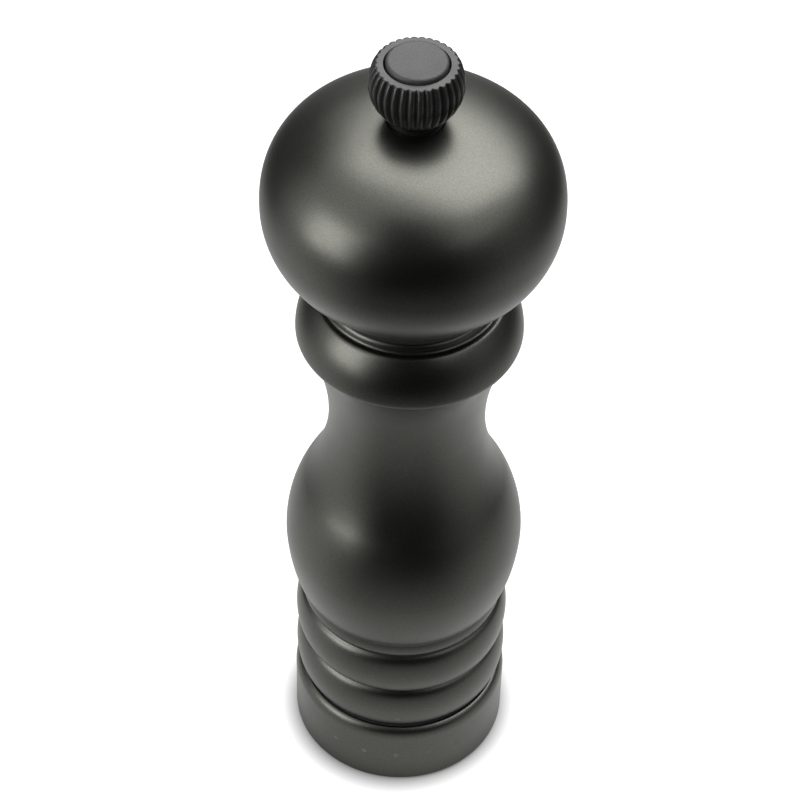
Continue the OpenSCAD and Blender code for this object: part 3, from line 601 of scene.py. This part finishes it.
# %% [markdown]
# ## Graphite coating
#
# The sheet is sprayed with a graphite lacquer full of fine metal flakes. The flakes scatter light as a
# rough metal does, so the shader is a dark metal of medium roughness. Flakes lean every way, which shows as
# a fine sparkle in the highlights, and a sprayed film is never quite level, which gives them a soft, broken
# edge.

# %% Graphite coating
FLAKE_W = 0.28
FLAKE_DEPTH = 0.006
PEEL_W = 1.6
PEEL_DEPTH = 0.004
FILM_W = 14


def graphite_lacquer():
    """Dark metal with flakes about 0.3 mm wide and an orange peel about 1.6 mm wide."""
    material, tree, shader, place = new_finish("graphite_lacquer_sprayed_on_steel")
    fine = add(tree, "TexNoise", Vector=place, Scale=per_mm(FLAKE_W), Detail=2.0, Roughness=0.7)
    flakes = fine.outputs["Fac"]
    peel = add(tree, "TexNoise", Vector=place, Scale=per_mm(PEEL_W), Detail=1.0).outputs["Fac"]
    film = add(tree, "TexNoise", Vector=place, Scale=per_mm(FILM_W), Detail=3.0).outputs["Fac"]
    flake_tone = spread_noise(tree, flakes)
    tree.links.new(blend_colours(tree, flake_tone, "52524e", "62625d"), shader.inputs["Base Color"])
    tree.links.new(spread_noise(tree, film, 0.32, 0.37), shader.inputs["Roughness"])
    set_on(shader, Metallic=1.0)
    under = raise_surface(tree, shader, peel, PEEL_DEPTH)
    raise_surface(tree, shader, flakes, FLAKE_DEPTH, under)
    return material


# %% [markdown]
# ## Moulded plastics
#
# A mould's texture comes from spark erosion or blasting, and prints a fine, even grain on the part. One
# function makes them all: a noise as wide as the grain moves the height, the roughness and a little of the
# colour.

# %% Moulded plastics
PLASTIC_IOR = 1.5
FLOW_W = 9
FLOW_SPREAD = 0.05


def moulded(name, dark, light, grain, depth, roughness):
    """Plastic with a moulded grain: `grain` is its width and `depth` its height, in millimetres."""
    material, tree, shader, place = new_finish(name)
    fine = add(tree, "TexNoise", Vector=place, Scale=per_mm(grain), Detail=3.0, Roughness=0.6)
    grains = fine.outputs["Fac"]
    flow = add(tree, "TexNoise", Vector=place, Scale=per_mm(FLOW_W), Detail=2.0).outputs["Fac"]
    tone = spread_noise(tree, grains)
    tree.links.new(blend_colours(tree, tone, dark, light), shader.inputs["Base Color"])
    gloss = spread_noise(tree, flow, roughness - FLOW_SPREAD, roughness + FLOW_SPREAD)
    tree.links.new(gloss, shader.inputs["Roughness"])
    set_on(shader, IOR=PLASTIC_IOR)
    raise_surface(tree, shader, grains, depth)
    return material


# %% [markdown]
# ## Worked metals
#
# Rolled sheet, drawn bar and turned pieces all carry the lines of the tool that made them. The same noise
# gives each of them when its coordinates are squeezed: long in the direction of the lines and short across
# them.

# %% Worked metals
CLOUD_W = 5
CLOUD_SPREAD = 0.06


def worked(name, dark, light, line, stretch, roughness, depth=0.002):
    """Metal with tool lines: a noise whose width is `line` millimetres, times `stretch` along x, y and z."""
    material, tree, shader, place = new_finish(name)
    laid = add(tree, "Mapping", Vector=place, Scale=tuple(1 / s for s in stretch)).outputs[0]
    lines = add(tree, "TexNoise", Vector=laid, Scale=per_mm(line), Detail=3.0, Roughness=0.6).outputs["Fac"]
    cloud = add(tree, "TexNoise", Vector=place, Scale=per_mm(CLOUD_W), Detail=2.0).outputs["Fac"]
    tone = spread_noise(tree, lines)
    tree.links.new(blend_colours(tree, tone, dark, light), shader.inputs["Base Color"])
    gloss = spread_noise(tree, cloud, roughness - CLOUD_SPREAD, roughness + CLOUD_SPREAD)
    tree.links.new(gloss, shader.inputs["Roughness"])
    set_on(shader, Metallic=1.0)
    raise_surface(tree, shader, lines, depth)
    return material


# %% [markdown]
# ## One finish for each slot
#
# The record names a slot for every node. Here each slot gets its finish, and each node and each new piece
# takes the finish of its slot.

# %% Give every piece its finish
finishes = {
    "coated_steel": graphite_lacquer(),
    "mark_paint": moulded("matt_pad_print", "636361", "70706d", 0.2, 0.004, 0.6),
    "hopper_plastic": moulded("smooth_black_polypropylene_moulded", "181818", "222222", 0.5, 0.004, 0.35),
    "core_plastic": moulded("black_abs_moulded", "0e0e0e", "171717", 0.35, 0.008, 0.42),
    "nylon": moulded("black_nylon_moulded", "0e0e0e", "171717", 0.6, 0.004, 0.45),
    "housing_plastic": moulded("glass_filled_nylon_moulded", "1c1f21", "34383a", 0.6, 0.012, 0.5),
    "stamped_steel": worked("zinc_plated_sheet_rolled", "9c9c99", "c8c8c4", 0.3, (8, 1, 1), 0.35),
    "screw_steel": worked("zinc_plated_screw_rolled", "a8a8a4", "cfcfca", 0.25, (1, 1, 1), 0.3),
    "spring_steel": worked("spring_wire_drawn", "a0a09c", "d2d2ce", 0.2, (1, 1, 1), 0.22),
    "burr_steel": worked("hardened_burr_machined", "4c4d50", "77787b", 0.25, (5, 5, 1), 0.38, 0.006),
    "shaft_aluminium": worked("aluminium_bar_drawn", "b0b0ae", "d4d4d2", 0.18, (1, 1, 40), 0.3),
    "brass": worked("brass_turned", "a8874a", "d6b572", 0.2, (6, 6, 1), 0.28),
    "knob_plastic": moulded("black_polyamide_moulded", "191918", "2a2a29", 0.22, 0.02, 0.3),
    "cap_plastic": moulded("grey_plastic_spark_eroded", "2a2a2b", "4c4c4d", 0.3, 0.03, 0.5),
}
slot_of = {row["node"]: row["material_slot"] for row in frame["record"]["subparts"]}
for name, node in frame["nodes"].items():
    node.data.materials.clear()
    node.data.materials.append(finishes[slot_of[name]])
made = {piece: piece["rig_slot"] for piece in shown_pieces() if "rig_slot" in piece}
for piece, slot in made.items():
    piece.data.materials.append(finishes[slot])
print(len(frame["nodes"]), "nodes and", len(made), "new pieces have a finish")

# %% [markdown]
# ## The floor
#
# The mill stands on white paper. Seen straight from the camera, the paper glows up to white, but the glow
# fades to nothing within a few millimetres of the foot: this paints a narrow contact shadow, on top of the
# real shadow that the lamps cast. Shiny surfaces see about half of that glow, painted shadow included.

# %% Floor
FLOOR_HALF = 4.0
FLOOR_LIFT = 0.9
SHINE_SHARE = 0.55
CONTACT_R = 0.0255
CLEAR_R = 0.032


def card(name, corners, material):
    """A flat or bent stage card through the given rows of points."""
    rows, columns = len(corners), len(corners[0])
    faces = [(i * columns + j, i * columns + j + 1, (i + 1) * columns + j + 1, (i + 1) * columns + j)
             for i in range(rows - 1) for j in range(columns - 1)]
    mesh = bpy.data.meshes.new(name)
    mesh.from_pydata([tuple(point) for row in corners for point in row], [], faces)
    mesh.materials.append(material)
    piece = bpy.data.objects.new(name, mesh)
    bpy.context.scene.collection.objects.link(piece)
    return piece


def background_rays(tree):
    """Two switches for rays that show the background: straight or through glass, and off a shiny surface."""
    ray = add(tree, "LightPath").outputs
    seen, through = ray["Is Camera Ray"], ray["Is Transmission Ray"]
    straight = add(tree, "Math", {"operation": "MAXIMUM"}, i0=seen, i1=through)
    return straight.outputs[0], ray["Is Glossy Ray"]


paper, tree, shader, place = new_finish("white_paper")
set_on(shader, Base_Color=linear("aaaaaa"), Roughness=0.9, Specular_IOR_Level=0.0)
straight, shiny = background_rays(tree)
reach = add(tree, "VectorMath", {"operation": "LENGTH"}, i0=place).outputs["Value"]
# Glow that fades out towards the foot: a painted contact shadow round it.
clear = spread(tree, reach, CONTACT_R, CLEAR_R, 0, FLOOR_LIFT)
shine = add(tree, "Math", {"operation": "MULTIPLY_ADD"}, i0=shiny, i1=SHINE_SHARE, i2=straight).outputs[0]
lift = add(tree, "Math", {"operation": "MULTIPLY"}, i0=shine, i1=clear).outputs[0]
shown = add(tree, "AddShader", i0=shader.outputs[0], i1=add(tree, "Emission", Strength=lift).outputs[0])
tree.links.new(shown.outputs[0], tree.nodes["Material Output"].inputs["Surface"])
card("floor", [[(-FLOOR_HALF, y, 0), (FLOOR_HALF, y, 0)] for y in (-FLOOR_HALF, FLOOR_HALF)], paper)

# %% [markdown]
# ## World and lamps
#
# The room glows evenly, and shows white behind the mill and in its reflections. A broad softbox hangs at
# the back right, above the head, and a smaller one stands low at the left: they make the wide light on the
# head and the soft blobs on the left.

# %% World and lamps
ROOM_GLOW = 0.3
MILL_MIDDLE = np.array([0, 0, 0.12])

world = bpy.data.worlds.new("white_room")
bpy.context.scene.world = world
world.use_nodes = True
tree = world.node_tree
straight, shiny = background_rays(tree)
shown = add(tree, "Math", {"operation": "MAXIMUM"}, i0=straight, i1=shiny).outputs[0]
tree.links.new(spread(tree, shown, 0, 1, ROOM_GLOW, 1.0), tree.nodes["Background"].inputs["Strength"])
set_on(tree.nodes["Background"], Color=(1, 1, 1, 1))


def direction(azimuth, elevation):
    """Unit vector towards an azimuth, counted from +X to +Y, and an elevation, in degrees."""
    a, e = np.radians(azimuth), np.radians(elevation)
    return np.array([np.cos(e) * np.cos(a), np.cos(e) * np.sin(a), np.sin(e)])


def softbox(name, azimuth, elevation, distance, width, height, radiance):
    """A rectangular lamp that faces the mill. Its power is radiance x area x pi."""
    lamp = bpy.data.lights.new(name, "AREA")
    lamp.shape = "RECTANGLE"
    lamp.size, lamp.size_y = width, height
    lamp.energy = radiance * width * height * np.pi
    piece = bpy.data.objects.new(name, lamp)
    bpy.context.scene.collection.objects.link(piece)
    back = direction(azimuth, elevation)
    side = np.cross([0, 0, 1], back)
    side /= np.linalg.norm(side)
    axes = Matrix(np.column_stack([side, np.cross(back, side), back]).tolist()).to_4x4()
    piece.matrix_world = Matrix.Translation(MILL_MIDDLE + distance * back) @ axes
    piece.visible_camera = False
    return piece


softbox("key_softbox", azimuth=58, elevation=64, distance=1.2, width=1.6, height=1.25, radiance=3.4)
softbox("left_softbox", azimuth=-151, elevation=16.5, distance=0.93, width=0.52, height=0.62, radiance=4.0)

# %% [markdown]
# ## Painted dark reflections
#
# Dark sheets lie on the table round the mill and stand round it, a roof of them hangs in front, and one more
# piece stands higher at the back left. They paint dark reflections onto the metal. They are thick in front
# and thinner near the mill at the sides and the back, so the metal fades into its dark middle. They show in
# reflections alone: straight views, shadows and diffuse light pass them by.

# %% Painted dark reflections
# A dark sheet that only reflections see: it paints dark reflections onto the metal.
dark_reflection_finish, tree, shader, _ = new_finish("painted_dark_reflection")
set_on(shader, Base_Color=linear("2a2a2a"), Roughness=1.0, Specular_IOR_Level=0.0)
cover = add(tree, "Attribute", {"attribute_name": "cover"}).outputs["Fac"]
hole = add(tree, "BsdfTransparent").outputs[0]
darkened = add(tree, "MixShader", Fac=cover, i1=hole, i2=shader.outputs[0])
tree.links.new(darkened.outputs[0], tree.nodes["Material Output"].inputs["Surface"])
DARK_SHEET_TURNS = [-180, -165, -150, -136, -120, -60, -45, -30, -13, 8, 30, 60, 90, 110, 125, 155, 170, 180]
NEAR_COVER = [0.15, 0.2, 0.5, 0.8, 1.0, 1.0, 0.8, 0.6, 0.45, 0.3, 0.15, 0.15, 0.3, 0.3, 0.3, 0.15, 0.15, 0.15]
FAR_COVER = [0.3, 0.35, 0.6, 0.85, 1.0, 1.0, 0.9, 0.75, 0.65, 0.85, 0.95, 0.9, 0.6, 0.75, 0.9, 0.9, 0.5, 0.3]
NEAR_R = 0.15
FAR_R = 0.45
DARK_SHEET_R = 1.6
DARK_SHEET_LIFT = 0.001
DARK_SHEET_STEP = 4
END_FADE = 20
WALL_TOP = 0.8
WALL_END = 1.1
ROOF_H = 1.6
ROOF_R = 0.6
ROOF_END_R = 0.5
BACK_TOP = 1.4
BACK_END = 1.8
TABLE_RINGS = [
    (0.045, 0.0), (0.06, 0.3), (0.08, 0.46), (0.105, 0.54),
    (0.155, 0.75), (0.25, 0.9), (0.45, 1.0), (DARK_SHEET_R, 1.0),
]


def hang_dark_reflection(name, start, stop, rings, fade=0):
    """A painted dark reflection round the axis between two azimuths, through rings of (radius, height,
    cover). The cover falls to nothing over `fade` degrees at both ends."""
    turns = np.linspace(start, stop, int((stop - start) / DARK_SHEET_STEP) + 1)
    ends = np.clip(np.minimum(turns - start, stop - turns) / fade, 0, 1) if fade else np.ones(len(turns))
    near, far = (np.interp(turns, DARK_SHEET_TURNS, cover) for cover in (NEAR_COVER, FAR_COVER))
    points = []
    covers = []
    for r, z, cover in rings:
        away = np.clip((r - NEAR_R) / (FAR_R - NEAR_R), 0, 1)
        covers.append(ends * cover * (near + (far - near) * away))
        points.append([(r * np.cos(t), r * np.sin(t), z) for t in np.radians(turns)])
    piece = card(name, points, dark_reflection_finish)
    amount = piece.data.attributes.new("cover", "FLOAT", "POINT")
    amount.data.foreach_set("value", np.concatenate(covers))
    piece.visible_camera = piece.visible_shadow = piece.visible_diffuse = False


foot = (DARK_SHEET_R, DARK_SHEET_LIFT, 1)
top = (DARK_SHEET_R, WALL_TOP, 1)
roof = [(DARK_SHEET_R, ROOF_H, 1), (ROOF_R, ROOF_H, 1), (ROOF_END_R, ROOF_H, 0)]
back = [(DARK_SHEET_R, BACK_TOP, 1), (DARK_SHEET_R, BACK_END, 0)]
hang_dark_reflection("table_dark_reflection", -180, 180, [(r, DARK_SHEET_LIFT, cover) for r, cover in TABLE_RINGS])
hang_dark_reflection("round_dark_reflection", -180, 180, [foot, top, (DARK_SHEET_R, WALL_END, 0)])
hang_dark_reflection("front_dark_reflection", -135, -45, [top, *roof], END_FADE)
hang_dark_reflection("back_dark_reflection", 105, 175, [top, *back], END_FADE)

bpy.context.scene.view_settings.view_transform = "Standard"

# %% [markdown]
# ## The end
#
# The last cell only imports json.

# %% Import json
import json
